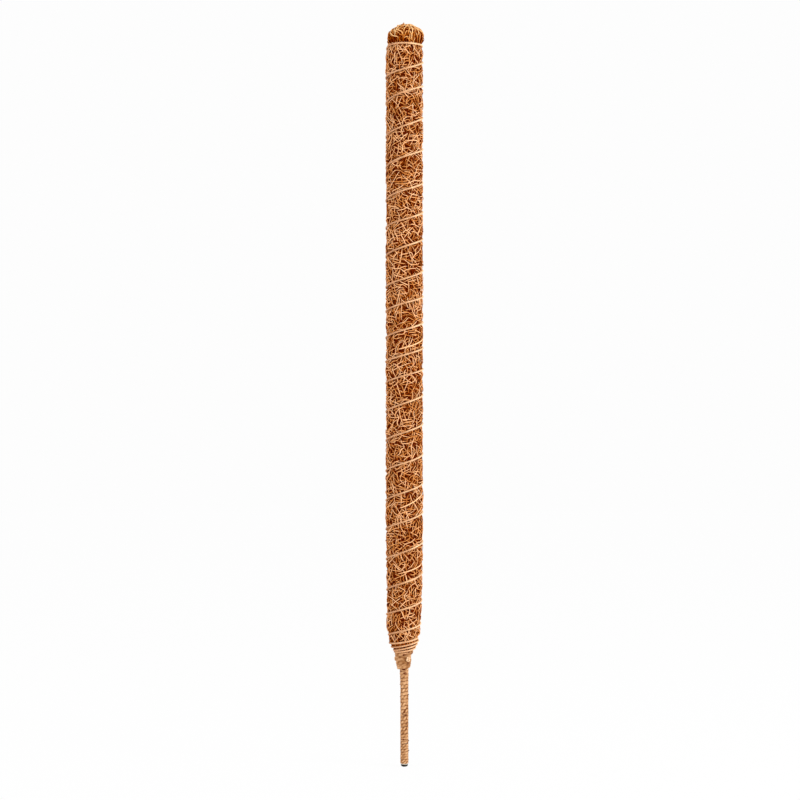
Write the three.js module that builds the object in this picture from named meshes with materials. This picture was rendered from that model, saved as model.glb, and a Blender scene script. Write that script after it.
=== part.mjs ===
// Coir moss pole, a support for climbing plants.
//
// A slim steel tube is the stake, with a plastic plug in each end. Two coir mats are rolled round its
// upper part, and a wad of coir closes the top. Twine binds the mats in an open spiral, close turns
// gather them in to a neck, a whipping ties that neck to the stake, and flat cord is wound on the bare
// stake down to its end cap. Nothing moves.
//
// Millimetres, +Z up. The origin is the middle of the flat foot of the end cap. The front is -Y.

import * as THREE from 'three';

// Driving dimensions: the whole pole
const poleHeight = 1000;
const coirDiameter = 50;
const neckHeight = 134;

// Driving dimensions: the stake and its plugs
const stakeDiameter = 8;
const stakeWall = 0.8;
const bareTube = 1.4;
const plugLip = 0.8;
const plugHeadHeight = 2.6;
const plugFootDiameter = 4;
const plugStemLength = 9;
const plugStemChamfer = 0.6;

// Driving dimensions: the coir
const innerMatThickness = 9.2;
const innerMatTaper = 25;
const neckLength = 16;
const neckFootWall = 2.6;
const neckTopWall = 3.6;
const gatherLength = 24;
const gatherDiameter = 37;
const shoulderLength = 28;
const headHeight = 17;
const headShift = 1.6;
const headBulge = 1.2;
const headStemLength = 9;

// Driving dimensions: the twine, in an open spiral whose spacing wanders as it does when wound by hand
const twineDiameter = 2.2;
const turnGap = 1;
const grooveDepth = 3.2;
const grooveReach = 0.14;
const grooveLip = 0.2;
const tieDepth = 30;
const tieWaist = 2.4;
const tieWaistReach = 6;
const tieTurn = 21;
const firstOpenTurn = 0.07;
const lastOpenTurn = 20.88;
const slowWander = { height: 6, turns: 22, start: -2.2 };
const quickWander = { height: 6.6, turns: 11, start: 5.15 };
const spiralEnds = { first: -0.5, last: 21.6 };

// Driving dimensions: the close windings
const gatherTurns = 5;
const gatherTurnGap = 2;
const whippingDiameter = 2.6;
const whippingTurns = 4;
const whippingTurnGap = 0.9;
const wrapThickness = 1.1;
const upperWrapWidth = 4.1;
const lowerWrapWidth = 2.95;
const wrapTurnGap = 0.6;
const wrapSplitHeight = 36;
const upperWrapStart = 0.375;

// Driving dimensions: the knots, each at a turn of its winding and tied in a cord of its own thickness
const topKnot = { turn: spiralEnds.last, cord: 1.5, size: 2.1 };
const neckKnot = { turn: 0.075, cord: 1.3, size: 1.75, height: 11.5 };

// Clearance between neighbouring pieces
const fitGap = 0.3;

// Facets
const columns = 18;
const roundSides = 24;
const wrapSteps = 12;
const twineSides = 5;

// Sizes that follow from the driving dimensions
const stakeRadius = stakeDiameter / 2;
const stakeBore = stakeRadius - stakeWall;
const plugRadius = stakeRadius + plugLip;
const twineRadius = twineDiameter / 2;
const coirRadius = coirDiameter / 2;
const coirBore = stakeRadius + fitGap;
const innerMatRadius = coirBore + innerMatThickness;
const outerMatBore = innerMatRadius + fitGap;
const neckTop = neckHeight + neckLength;
const gatherTop = neckTop + gatherLength;
const shoulderTop = gatherTop + shoulderLength;
const outerMatTop = poleHeight - headHeight;
const headSeat = outerMatTop + fitGap;
const headStemFoot = headSeat - headStemLength;
const stakeFoot = plugHeadHeight + fitGap;
const topPlugTop = headStemFoot - fitGap;
const stakeTop = topPlugTop - plugHeadHeight - fitGap;
const tieHeight = poleHeight - tieDepth;
const spiralFoot = gatherTop + twineDiameter + fitGap;
const closeRise = twineDiameter + turnGap;

const lerp = THREE.MathUtils.lerp;

// Points round the pole

// A turn is counted from the front, and turns to the right as it rises.
function turnAngle(turn) {
  return 2 * Math.PI * turn - Math.PI / 2;
}

function onPole(radius, turn, height) {
  const angle = turnAngle(turn);
  return new THREE.Vector3(radius * Math.cos(angle), radius * Math.sin(angle), height);
}

// Closed meshes from rings of points

class Skin {
  constructor() {
    this.points = [];
    this.faces = [];
  }

  point(place) {
    this.points.push(place.x, place.y, place.z);
    return this.points.length / 3 - 1;
  }

  ring(places) {
    return places.map((place) => this.point(place));
  }

  // A ring of columns at one height, turning to the right.
  levelRing(radius, height) {
    return this.ring(Array.from({ length: columns }, (_, i) => onPole(radius, 0.5 + i / columns, height)));
  }

  // Faces the polygon a, b, c, ... as a fan from a, its corners running left round as seen from outside.
  fan(...corners) {
    for (let i = 1; i + 1 < corners.length; i += 1) {
      this.faces.push(corners[0], corners[i], corners[i + 1]);
    }
  }

  // Joins two closed rings of equal length, the second above the first as seen from outside.
  band(lower, upper) {
    lower.forEach((corner, i) => {
      const next = (i + 1) % lower.length;
      this.fan(corner, lower[next], upper[next], upper[i]);
    });
  }

  geometry() {
    const geometry = new THREE.BufferGeometry();
    geometry.setAttribute('position', new THREE.Float32BufferAttribute(this.points, 3));
    geometry.setIndex(this.faces);
    geometry.computeVertexNormals();
    return geometry;
  }
}

// A solid of revolution about Z. The profile holds [radius, height] pairs.
function revolve(profile) {
  const outline = profile.map(([radius, height]) => new THREE.Vector2(radius, height));
  return new THREE.LatheGeometry(outline, roundSides).rotateX(Math.PI / 2);
}

// Windings

function roundSection(radius) {
  return Array.from({ length: twineSides }, (_, i) => {
    const angle = (2 * Math.PI * i) / twineSides;
    return [radius * Math.cos(angle), radius * Math.sin(angle)];
  });
}

// A cord pressed flat on its seat, with a low crown outside.
function flatSection(thickness, width) {
  const shoulder = 0.15 * thickness;
  return [
    [-thickness / 2, -width / 2],
    [shoulder, -width / 2],
    [thickness / 2, 0],
    [shoulder, width / 2],
    [-thickness / 2, width / 2],
  ];
}

// One unbroken cord along centre(turn). Its section is given outward and upward, and each end runs
// straight on for the length of the tail.
function windCord({ name, from, to, steps, section, tail, centre }) {
  const count = Math.round((to - from) * steps);
  const skin = new Skin();
  const rings = [];
  for (let i = 0; i <= count; i += 1) {
    const turn = from + i / steps;
    const nudge = 1 / (4 * steps);
    const along = centre(turn + nudge).sub(centre(turn - nudge)).normalize();
    const outward = onPole(1, turn, 0);
    outward.addScaledVector(along, -outward.dot(along)).normalize();
    const upward = outward.clone().cross(along);
    const slice = (shift) =>
      section.map(([out, up]) =>
        centre(turn).addScaledVector(outward, out).addScaledVector(upward, up).addScaledVector(along, shift),
      );
    if (i === 0) {
      rings.push(slice(-tail));
    }
    rings.push(slice(0));
    if (i === count) {
      rings.push(slice(tail));
    }
  }
  console.log(`${name}: least gap to itself ${leastGap(rings.slice(1, -1), steps).toFixed(2)} mm`);
  const corners = rings.map((ring) => skin.ring(ring));
  for (let i = 0; i + 1 < corners.length; i += 1) {
    skin.band(corners[i + 1], corners[i]);
  }
  skin.fan(...corners[0]);
  skin.fan(...corners[corners.length - 1].toReversed());
  return skin.geometry();
}

// The least distance between points one turn apart, or nearly so.
function leastGap(rings, steps) {
  let least = Infinity;
  for (let i = 0; i + steps < rings.length; i += 1) {
    for (const shift of [-1, 0, 1]) {
      for (const other of rings[i + steps + shift] ?? []) {
        least = Math.min(least, ...rings[i].map((place) => place.distanceTo(other)));
      }
    }
  }
  return least;
}

// The height of the binding twine at each turn: close turns at both ends, open ones between

function easeIn(turns) {
  const sharpness = 5;
  return Math.log1p(Math.exp(sharpness * turns)) / sharpness;
}

function openTurns(turn) {
  return easeIn(turn - firstOpenTurn) - easeIn(turn - lastOpenTurn);
}

function wanderAt(open) {
  return [slowWander, quickWander].reduce(
    (sum, { height, turns, start }) => sum + height * Math.sin((2 * Math.PI * (open - start)) / turns),
    0,
  );
}

const openRise =
  (tieHeight - spiralFoot - closeRise * tieTurn - wanderAt(openTurns(tieTurn))) / openTurns(tieTurn);

function spiralHeight(turn) {
  const open = openTurns(turn);
  return spiralFoot + closeRise * turn + openRise * open + wanderAt(open);
}

// The coir's outer surface

function swell(share) {
  return Math.sin((Math.PI / 2) * share);
}

// The radius without the grooves that the twine draws in.
function coirSurface(height) {
  const neckFootRadius = coirBore + neckFootWall;
  const neckTopRadius = coirBore + neckTopWall;
  const gatherRadius = gatherDiameter / 2;
  if (height < neckTop) {
    return lerp(neckFootRadius, neckTopRadius, (height - neckHeight) / neckLength);
  }
  if (height < gatherTop) {
    return lerp(neckTopRadius, gatherRadius, swell((height - neckTop) / gatherLength));
  }
  if (height < shoulderTop) {
    return lerp(gatherRadius, coirRadius, swell((height - gatherTop) / shoulderLength));
  }
  return coirRadius - tieWaist * Math.exp(-(((height - tieHeight) / tieWaistReach) ** 2));
}

function grooveAt(turn) {
  const spacing = spiralHeight(turn + 0.5) - spiralHeight(turn - 0.5);
  return grooveDepth * Math.min(1, spacing / (openRise + closeRise));
}

// The rows of the surface within one turn of twine: how far each lies from the turn below, as a share of
// the spacing, and the share of the groove's depth that it has.
const turnRows = [
  { share: 0, depth: 1 },
  { share: grooveReach, depth: grooveLip },
  { share: 0.5, depth: 0 },
  { share: 1 - grooveReach, depth: grooveLip },
];
const rowsPerTurn = turnRows.length;

// The radius where the middle of a cord lies, clear of a surface that may slope or of a groove's sides.
function seatRadius(surface, height, cordRadius, grooveSlope = 0) {
  const slope = (surface(height + cordRadius) - surface(height - cordRadius)) / (2 * cordRadius);
  return surface(height) + (fitGap + cordRadius) * Math.hypot(1, Math.abs(slope) + grooveSlope);
}

// The coir pieces

// The bore of the outer mat takes the stake at the neck and opens above it over the inner mat.
const boreOpens = gatherTop - innerMatTaper / 2;
const boreOpen = boreOpens + innerMatTaper;

function innerMat() {
  const taperGap = (fitGap * innerMatTaper) / (outerMatBore - coirBore);
  return revolve([
    [coirBore, boreOpens + taperGap],
    [innerMatRadius, boreOpen],
    [innerMatRadius, topPlugTop],
    [plugRadius + fitGap, topPlugTop],
    [plugRadius + fitGap, stakeTop],
    [coirBore, stakeTop],
    [coirBore, boreOpens + taperGap],
  ]);
}

// The outer surface is a strip of rows that follow the twine: each row climbs a turn as it goes round
// and joins the row one turn above it. Level rings close the strip below and above.
function outerMat() {
  const skin = new Skin();
  const firstRow = -rowsPerTurn;
  const lastRow = Math.ceil(tieTurn + 0.5) * rowsPerTurn;
  const rows = new Map();
  const cornerAt = (row, column) => {
    const wholeTurns = Math.floor(row / rowsPerTurn);
    const { share, depth } = turnRows[row - wholeTurns * rowsPerTurn];
    const turn = wholeTurns + share + column / columns - 0.5;
    const height = spiralHeight(turn);
    return onPole(coirSurface(height) - grooveAt(turn) * depth, column / columns - 0.5, height);
  };
  const corner = (row, column) => {
    if (column === columns) {
      return corner(row + rowsPerTurn, 0);
    }
    const key = `${row} ${column}`;
    if (!rows.has(key)) {
      rows.set(key, skin.point(cornerAt(row, column)));
    }
    return rows.get(key);
  };
  for (let row = firstRow; row < lastRow; row += 1) {
    for (let column = 0; column < columns; column += 1) {
      skin.fan(
        corner(row, column),
        corner(row, column + 1),
        corner(row + 1, column + 1),
        corner(row + 1, column),
      );
    }
  }

  const stripFoot = spiralHeight(firstRow / rowsPerTurn - 0.5);
  const ringHeights = [neckHeight, neckTop];
  const gatherRings = 4;
  for (let i = 1; i <= gatherRings; i += 1) {
    ringHeights.push(lerp(neckTop, stripFoot - turnGap, i / gatherRings));
  }
  const lowerRings = ringHeights.map((height) => skin.levelRing(coirSurface(height), height));
  lowerRings.slice(1).forEach((ring, i) => skin.band(lowerRings[i], ring));
  const foot = lowerRings.at(-1);
  const top = skin.levelRing(coirSurface(outerMatTop), outerMatTop);
  const seam = (row) => Array.from({ length: rowsPerTurn + 1 }, (_, i) => corner(row + i, 0));
  for (let column = 0; column < columns; column += 1) {
    const next = (column + 1) % columns;
    if (column === columns - 1) {
      skin.fan(foot[column], foot[next], ...seam(firstRow), corner(firstRow, column));
    } else {
      skin.fan(foot[column], foot[next], corner(firstRow, next), corner(firstRow, column));
    }
    if (column === 0) {
      skin.fan(top[next], top[column], ...seam(lastRow).toReversed(), corner(lastRow, next));
    } else {
      skin.fan(top[next], top[column], corner(lastRow, column), corner(lastRow, column + 1));
    }
  }

  const boreRings = [
    skin.levelRing(outerMatBore, outerMatTop),
    skin.levelRing(outerMatBore, boreOpen),
    skin.levelRing(coirBore, boreOpens),
    skin.levelRing(coirBore, neckHeight),
  ];
  [top, ...boreRings].forEach((ring, i) => skin.band(ring, boreRings[i] ?? lowerRings[0]));
  return skin.geometry();
}

// A low dome that leans to the right, with a stem that fills the mouth of the outer mat.
function head() {
  const skin = new Skin();
  const domeRows = 6;
  const skirtRadius = coirSurface(outerMatTop);
  const rings = [
    skin.levelRing(outerMatBore - fitGap, headStemFoot),
    skin.levelRing(outerMatBore - fitGap, headSeat),
  ];
  for (let row = 0; row < domeRows; row += 1) {
    const climb = (Math.PI / 2) * (row / domeRows);
    const height = lerp(headSeat, poleHeight, Math.sin(climb));
    const places = Array.from({ length: columns }, (_, i) => {
      const turn = 0.5 + i / columns;
      const rightward = Math.max(0, Math.cos(turnAngle(turn)));
      const bulge = headBulge * rightward * Math.sin(2 * climb);
      const place = onPole((skirtRadius + bulge) * Math.cos(climb), turn, height);
      place.x += headShift * Math.sin(climb);
      return place;
    });
    rings.push(skin.ring(places));
  }
  rings.slice(1).forEach((ring, i) => skin.band(rings[i], ring));
  const crown = skin.point(new THREE.Vector3(headShift, 0, poleHeight));
  const summit = rings.at(-1);
  summit.forEach((place, i) => skin.fan(place, summit[(i + 1) % columns], crown));
  skin.fan(...rings[0].toReversed());
  return skin.geometry();
}

// The stake

function stakeTube() {
  return revolve([
    [stakeBore, stakeFoot],
    [stakeRadius, stakeFoot],
    [stakeRadius, stakeTop],
    [stakeBore, stakeTop],
    [stakeBore, stakeFoot],
  ]);
}

// A mushroom plug with its flat foot at height 0 and its stem upward.
function stakePlug() {
  const stemRadius = stakeBore - fitGap;
  const footRadius = plugFootDiameter / 2;
  const stemTop = plugHeadHeight + plugStemLength;
  const roundSteps = 4;
  const profile = [[0, 0]];
  for (let i = 0; i <= roundSteps; i += 1) {
    const round = (Math.PI / 2) * (i / roundSteps);
    profile.push([
      lerp(footRadius, plugRadius, Math.sin(round)),
      lerp(0, plugHeadHeight, 1 - Math.cos(round)),
    ]);
  }
  profile.push(
    [stemRadius, plugHeadHeight],
    [stemRadius, stemTop - plugStemChamfer],
    [stemRadius - plugStemChamfer, stemTop],
    [0, stemTop],
  );
  return revolve(profile);
}

// The windings

function spiralCentre(turn) {
  const height = spiralHeight(turn);
  const surface = (level) => coirSurface(level) - grooveAt(turn);
  const grooveSlope = (grooveDepth * (1 - grooveLip)) / (grooveReach * (openRise + closeRise));
  return onPole(seatRadius(surface, height, twineRadius, grooveSlope), turn, height);
}

const spiralTwine = windCord({
  name: 'spiral_twine',
  from: spiralEnds.first,
  to: spiralEnds.last,
  steps: columns,
  section: roundSection(twineRadius),
  tail: twineDiameter,
  centre: spiralCentre,
});

const gatherRise = twineDiameter + gatherTurnGap;

function gatherCentre(turn) {
  const height = spiralHeight(-1) - twineDiameter - gatherRise * (gatherTurns - turn);
  return onPole(seatRadius(coirSurface, height, twineRadius), turn, height);
}

const gatherTwine = windCord({
  name: 'gather_twine',
  from: 0.5,
  to: gatherTurns,
  steps: columns,
  section: roundSection(twineRadius),
  tail: twineDiameter,
  centre: gatherCentre,
});

const whippingRise = whippingDiameter + whippingTurnGap;

function whippingCentre(turn) {
  const height = neckHeight + whippingDiameter / 2 + fitGap + whippingRise * turn;
  return onPole(seatRadius(coirSurface, height, whippingDiameter / 2), turn, height);
}

const neckWhipping = windCord({
  name: 'neck_whipping',
  from: 0.5,
  to: whippingTurns,
  steps: columns,
  section: roundSection(whippingDiameter / 2),
  tail: whippingDiameter,
  centre: whippingCentre,
});

// Flat cord on the stake between two heights. Its chords dip towards the stake, and its seat allows for
// that. Its straight ends go on climbing, and the turns leave room for them.
function stakeWrap(name, lowest, highest, width, firstTurn) {
  const rise = width + wrapTurnGap;
  const lay = (stakeRadius + fitGap) / Math.cos(Math.PI / wrapSteps) + wrapThickness / 2;
  const tailRise = (width * rise) / (2 * Math.PI * lay);
  const firstHeight = lowest + tailRise + width / 2;
  const turns = (highest - lowest - width - 2 * tailRise) / rise;
  return windCord({
    name,
    from: firstTurn,
    to: firstTurn + turns,
    steps: wrapSteps,
    section: flatSection(wrapThickness, width),
    tail: width,
    centre: (turn) => onPole(lay, turn, firstHeight + rise * (turn - firstTurn)),
  });
}

const upperWrap = stakeWrap(
  'stake_wrap_upper',
  wrapSplitHeight + wrapTurnGap,
  neckHeight - fitGap,
  upperWrapWidth,
  upperWrapStart,
);

const lowerWrap = stakeWrap('stake_wrap_lower', stakeFoot + bareTube, wrapSplitHeight, lowerWrapWidth, 0.5);

// An overhand knot lying flat against what it ties
function knot({ cord, size }) {
  const knotSteps = 30;
  return new THREE.TorusKnotGeometry(size, cord / 2, knotSteps, twineSides, 2, 3);
}

function placeKnot(mesh, { turn, cord, size }, seat, height) {
  const outward = onPole(1, turn, 0);
  const halfThickness = size / 2 + cord / 2;
  mesh.position.copy(onPole(seat + fitGap + halfThickness, turn, height));
  mesh.quaternion.setFromUnitVectors(new THREE.Vector3(0, 0, 1), outward);
}

// Materials

const coirFinish = { color: 0xab6b3d, roughness: 0.95, metalness: 0 };
const packedCoirFinish = { color: 0x8a5028, roughness: 0.95, metalness: 0 };
const twineFinish = { color: 0xdcaa80, roughness: 0.9, metalness: 0 };
const cordFinish = { color: 0xc08f62, roughness: 0.9, metalness: 0 };
const steelFinish = { color: 0xb9b4ac, roughness: 0.4, metalness: 1 };
const plasticFinish = { color: 0x2a221c, roughness: 0.5, metalness: 0 };

// The assembly

const pole = new THREE.Group();
pole.name = 'moss_pole';

function addPiece(name, geometry, finish) {
  const mesh = new THREE.Mesh(geometry, new THREE.MeshStandardMaterial(finish));
  mesh.name = name;
  pole.add(mesh);
  return mesh;
}

addPiece('stake_tube', stakeTube(), steelFinish);
addPiece('stake_end_cap', stakePlug(), plasticFinish);
const topPlug = addPiece('stake_top_plug', stakePlug(), plasticFinish);
topPlug.position.z = topPlugTop;
topPlug.rotation.x = Math.PI;

addPiece('coir_inner_mat', innerMat(), packedCoirFinish);
addPiece('coir_outer_mat', outerMat(), coirFinish);
addPiece('coir_head', head(), coirFinish);

addPiece('spiral_twine', spiralTwine, twineFinish);
addPiece('gather_twine', gatherTwine, twineFinish);
addPiece('neck_whipping', neckWhipping, twineFinish);
addPiece('stake_wrap_upper', upperWrap, cordFinish);
addPiece('stake_wrap_lower', lowerWrap, cordFinish);

const twineEnd = spiralCentre(topKnot.turn);
const topKnotSeat = Math.hypot(twineEnd.x, twineEnd.y) + twineRadius;
placeKnot(addPiece('top_knot', knot(topKnot), twineFinish), topKnot, topKnotSeat, twineEnd.z);

const neckKnotHeight = neckHeight + neckKnot.height;
const neckKnotSeat =
  seatRadius(coirSurface, neckKnotHeight + neckKnot.size, whippingDiameter / 2) + whippingDiameter / 2;
placeKnot(addPiece('neck_knot', knot(neckKnot), twineFinish), neckKnot, neckKnotSeat, neckKnotHeight);

export default pole;
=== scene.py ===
import math

import bpy
import numpy as np
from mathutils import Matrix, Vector


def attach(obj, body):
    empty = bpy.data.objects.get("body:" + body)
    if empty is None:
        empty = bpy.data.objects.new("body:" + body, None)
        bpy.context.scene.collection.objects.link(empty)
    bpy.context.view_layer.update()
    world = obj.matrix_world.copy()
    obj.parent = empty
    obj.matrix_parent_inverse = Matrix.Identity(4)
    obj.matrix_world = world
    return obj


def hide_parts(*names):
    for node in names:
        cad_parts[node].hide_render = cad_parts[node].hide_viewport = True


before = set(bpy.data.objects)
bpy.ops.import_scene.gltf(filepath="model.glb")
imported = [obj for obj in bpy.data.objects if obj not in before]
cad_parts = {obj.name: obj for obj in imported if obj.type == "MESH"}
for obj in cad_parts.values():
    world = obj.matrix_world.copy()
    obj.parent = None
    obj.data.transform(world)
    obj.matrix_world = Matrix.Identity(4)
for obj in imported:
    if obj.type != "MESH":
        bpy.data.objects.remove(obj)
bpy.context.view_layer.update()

MM = 0.001
FULL_TURN = 2 * math.pi
TINY = 1e-9

# Sizes of the CAD model, in millimetres. Turns round the pole are counted from the front (-Y).
STAKE_RADIUS = 4
CAP_FOOT_RADIUS = 2
CAP_RADIUS = 4.8
COIR_RADIUS = 25
NECK_FOOT = 134
NECK_TOP = 150
GATHER_TOP = 174
SHOULDER_TOP = 202
NECK_FOOT_RADIUS = 6.9
NECK_TOP_RADIUS = 7.9
GATHER_RADIUS = 18.5
HEAD_SEAT = 983.3
POLE_TOP = 1000
TIE_WAIST = 2.4
TIE_WAIST_REACH = 6
SPIRAL_ENDS = (-0.5, 21.6)
TWINE_RADIUS = 1.1
WHIPPING_RADIUS = 1.3
WRAP_THICKNESS = 1.1
WRAP_LAY = 5.0
WRAP_GAP = 0.6
WRAP_FOOT = 4.3
WRAP_SPLIT = 36.6
WRAP_TOP = 133.7

# Where the dressed pole departs from the CAD model, in millimetres, with the angle in radians
BODY_TAPER = 1.6
TAPER_START = 181
TAPER_RISE = 12
TAPER_REACH = 110
GATHER_LEAN = 1.1
GATHER_LEAN_REACH = 40
GATHER_OVERHANG = 1.7
GATHER_OVERHANG_HEIGHT = 175
GATHER_OVERHANG_REACH = 10
HEAD_RADIUS = 24.6
HEAD_SHIFT = 2.2
HEAD_SHIFT_RISE = 20
HEAD_SLIMMING = 1.3
HEAD_BULGE = 1.3
HEAD_BULGE_HEIGHT = 978
HEAD_BULGE_REACH = 7
HEAD_BULGE_ANGLE = 0.42
GROOVE_DEPTH = 1.8
GROOVE_REACH = 4.2
FULL_GROOVE_SPACING = 38

# The heights at which the twine comes round to the front, unevenly spaced because it is wound by hand
FRONT_CROSSINGS = np.array([
    166, 185, 215, 249, 291, 331, 370, 409, 450, 489, 526, 554,
    587, 623, 655, 698, 735, 773, 818, 859, 905, 936, 970, 968,
])
FIRST_CROSSING = -1
LAST_CROSSING = FIRST_CROSSING + len(FRONT_CROSSINGS) - 1
TURN_TILT = 1.8
TIE_TURN = 21
TIE_HEIGHT = FRONT_CROSSINGS[TIE_TURN - FIRST_CROSSING]


# Colours and node materials

STREAK_SCALE = 2.6
STREAK_STRETCH = 0.12


def srgb(red, green, blue):
    """The linear colour of an sRGB triple from 0 to 255."""
    shares = np.array([red, green, blue]) / 255
    linear = np.where(shares <= 0.04045, shares / 12.92, ((shares + 0.055) / 1.055) ** 2.4)
    return (*(float(value) for value in linear), 1.0)


class Nodes:
    """A node material or world in the making."""

    def __init__(self, owner):
        owner.use_nodes = True
        self.tree = owner.node_tree
        self.tree.nodes.clear()

    def add(self, kind, sockets=None, **settings):
        """A new node; each of its sockets takes a plain value or the output of another node."""
        node = self.tree.nodes.new(kind)
        for name, value in settings.items():
            setattr(node, name, value)
        for name, value in (sockets or {}).items():
            if isinstance(value, bpy.types.NodeSocket):
                self.tree.links.new(value, node.inputs[name])
            else:
                node.inputs[name].default_value = value
        return node

    def math(self, operation, *values):
        return self.add("ShaderNodeMath", dict(enumerate(values)), operation=operation).outputs[0]

    def attribute(self, name):
        return self.add("ShaderNodeAttribute", attribute_name=name).outputs["Fac"]

    def noise(self, vector, scale, detail=2.0):
        sockets = {"Vector": vector, "Scale": scale, "Detail": detail}
        return self.add("ShaderNodeTexNoise", sockets).outputs[0]

    def ramp(self, factor, stops):
        node = self.add("ShaderNodeValToRGB", {"Fac": factor})
        elements = node.color_ramp.elements
        while len(elements) < len(stops):
            elements.new(0.5)
        for element, (place, colour) in zip(elements, stops):
            element.position = place
            element.color = colour
        return node.outputs["Color"]

    def surface(self, shader):
        self.add("ShaderNodeOutputMaterial", {"Surface": shader})

    def principled(self, **sockets):
        spaced = {name.replace("_", " "): value for name, value in sockets.items()}
        self.surface(self.add("ShaderNodeBsdfPrincipled", spaced).outputs["BSDF"])


def fibre_material(name, stops, mottle, roughness, gloss):
    """Fibre whose colour follows each strand's own tone, streaked along the strand."""
    material = bpy.data.materials.new(name)
    nodes = Nodes(material)
    along = nodes.math("MULTIPLY", nodes.attribute("along"), STREAK_STRETCH)
    place = nodes.add("ShaderNodeCombineXYZ", {"X": along, "Y": nodes.attribute("around")}).outputs[0]
    streak = nodes.math("SUBTRACT", nodes.noise(place, STREAK_SCALE), 0.5)
    tone = nodes.math("MULTIPLY_ADD", streak, mottle, nodes.attribute("tone"))
    nodes.principled(
        Base_Color=nodes.ramp(tone, stops),
        Roughness=roughness,
        Specular_IOR_Level=gloss,
    )
    return material


COIR_STOPS = [
    (0.0, srgb(74, 10, 0)),
    (0.25, srgb(110, 30, 0)),
    (0.5, srgb(162, 76, 0)),
    (0.75, srgb(210, 140, 75)),
    (1.0, srgb(250, 197, 149)),
]
HEAD_STOPS = [
    (0.0, srgb(84, 18, 0)),
    (0.25, srgb(116, 40, 0)),
    (0.5, srgb(170, 82, 6)),
    (0.75, srgb(219, 147, 71)),
    (1.0, srgb(252, 207, 147)),
]
TWINE_STOPS = [
    (0.0, srgb(98, 46, 14)),
    (0.4, srgb(168, 106, 58)),
    (0.75, srgb(206, 146, 96)),
    (1.0, srgb(240, 194, 144)),
]
CORD_STOPS = [
    (0.0, srgb(98, 48, 14)),
    (0.25, srgb(150, 99, 55)),
    (0.5, srgb(190, 142, 98)),
    (0.75, srgb(218, 173, 130)),
    (1.0, srgb(246, 207, 165)),
]
PLASTIC_STOPS = [(0.3, srgb(18, 12, 9)), (0.7, srgb(34, 25, 20))]
STEEL_STOPS = [(0.25, srgb(168, 162, 150)), (0.75, srgb(222, 216, 204))]


def plastic_material():
    """Dark moulded plastic, faintly uneven in gloss."""
    material = bpy.data.materials.new("moulded_plastic")
    nodes = Nodes(material)
    place = nodes.add("ShaderNodeTexCoord").outputs["Object"]
    blotch = nodes.noise(place, 900.0)
    nodes.principled(
        Base_Color=nodes.ramp(blotch, PLASTIC_STOPS),
        Roughness=nodes.math("MULTIPLY_ADD", blotch, 0.25, 0.5),
        Specular_IOR_Level=0.15,
    )
    return material


def steel_material():
    """Dull zinc-coated steel with a faint grain along the tube."""
    material = bpy.data.materials.new("zinc_coated_steel")
    nodes = Nodes(material)
    place = nodes.add("ShaderNodeTexCoord").outputs["Object"]
    stretched = nodes.add("ShaderNodeMapping", {"Vector": place, "Scale": (1.0, 1.0, 0.05)}).outputs[0]
    grain = nodes.noise(stretched, 2500.0, 4.0)
    nodes.principled(
        Base_Color=nodes.ramp(grain, STEEL_STOPS),
        Metallic=0.7,
        Roughness=0.45,
    )
    return material


coir_finish = fibre_material("coir_fibre", COIR_STOPS, mottle=0.3, roughness=0.42, gloss=0.0)
head_finish = fibre_material("coir_head_fibre", HEAD_STOPS, mottle=0.3, roughness=0.42, gloss=0.0)
twine_finish = fibre_material("twine_yarn", TWINE_STOPS, mottle=0.35, roughness=0.33, gloss=0.6)
cord_finish = fibre_material("cord_yarn", CORD_STOPS, mottle=0.7, roughness=0.6, gloss=0.15)
plastic_finish = plastic_material()
steel_finish = steel_material()


# The form of the pole

def rise(place, start, reach):
    """0 up to the start, and from there a straight rise to 1 over the reach."""
    return np.clip((place - start) / reach, 0, 1)


def swell(place, start, reach):
    """The same rise, rounded off at its top."""
    return np.sin(math.pi / 2 * rise(place, start, reach))


def hump(place, middle, reach):
    """1 at the middle, falling away smoothly on both sides of it."""
    return np.exp(-(((place - middle) / reach) ** 2))


def on_pole(radius, turn, height):
    """Points round the pole. The gathered foot of the coir sits a little to the left of the stake."""
    angle = FULL_TURN * turn - math.pi / 2
    sideways = radius * np.cos(angle) - GATHER_LEAN * hump(height, GATHER_TOP, GATHER_LEAN_REACH)
    return np.stack(np.broadcast_arrays(sideways, radius * np.sin(angle), height), axis=-1)


def away_from_axis(turn):
    """The level directions that lead out from the pole's axis."""
    return on_pole(1.0, turn, 0.0 * turn)


def spiral_height(turn):
    """A smooth climb through the front crossings, with each turn but the tie steepest at the front."""
    place = np.clip(turn, FIRST_CROSSING, LAST_CROSSING - 0.001) - FIRST_CROSSING
    below = np.floor(place).astype(int)
    share = place - below
    rises = np.diff(FRONT_CROSSINGS)
    slopes = np.concatenate([rises[:1], 2 / (1 / rises[1:] + 1 / rises[:-1]), rises[-1:]])
    climb = FRONT_CROSSINGS[below] + rises[below] * share ** 2 * (3 - 2 * share)
    bend = share * (1 - share) * (slopes[below] * (1 - share) - slopes[below + 1] * share)
    tilt = TURN_TILT * np.sin(FULL_TURN * turn) * np.clip(TIE_TURN - turn, 0, 1)
    return climb + bend + tilt


TURN_TABLE = np.linspace(FIRST_CROSSING, LAST_CROSSING, 4601)
HEIGHT_TABLE = spiral_height(TURN_TABLE)
SPIRAL_END_HEIGHT = spiral_height(SPIRAL_ENDS[1])


def tie_waist(height):
    """How far the top tie draws the coir in."""
    return TIE_WAIST * hump(height, TIE_HEIGHT, TIE_WAIST_REACH)


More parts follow.
